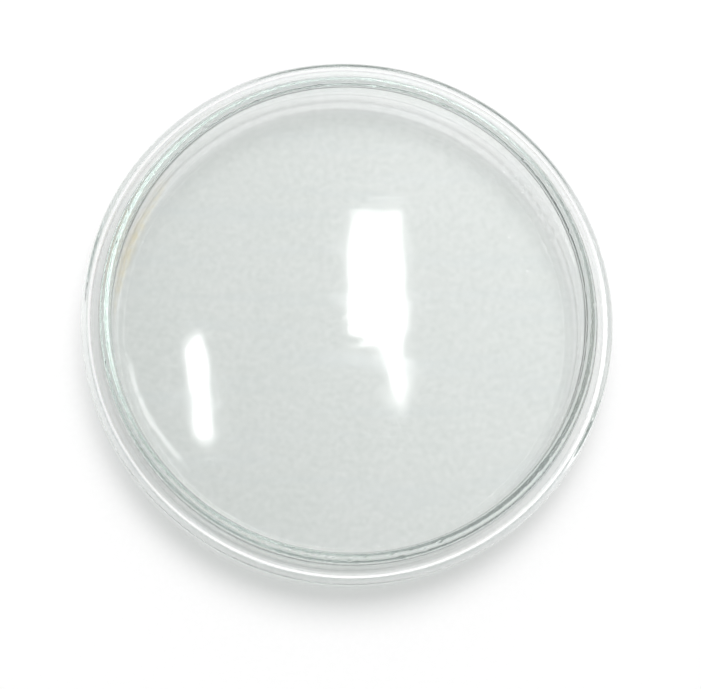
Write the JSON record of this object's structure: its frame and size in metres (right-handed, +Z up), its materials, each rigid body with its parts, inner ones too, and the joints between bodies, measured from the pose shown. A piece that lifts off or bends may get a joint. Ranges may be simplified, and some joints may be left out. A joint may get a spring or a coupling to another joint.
{
  "type": "glass petri dish",
  "caption": "Shallow round clear glass culture dish with a flat floor and upright wall, closed by a loose overlapping flat glass cover that lifts off.",
  "frame": {"origin": "on the surface that the dish stands on, under the middle of the cover", "axes": "+Z up along the dish's axis; +X points right in the front view, and the cover's mould marks lie between +X and +Y"},
  "size_m": [0.1, 0.1, 0.017],
  "materials": {
    "dish_glass": "polished pressed glass with a fire-polished rim",
    "cover_glass": "polished pressed glass"
  },
  "bodies": {
    "dish": {"dish": "dish_glass"},
    "cover": {"cover": "cover_glass"}
  },
  "joints": [
    {"name": "cover_lift", "type": "slide", "parent": "dish", "child": "cover", "axis": [0, 0, 1], "range_m": [0, 0.04]}
  ]
}
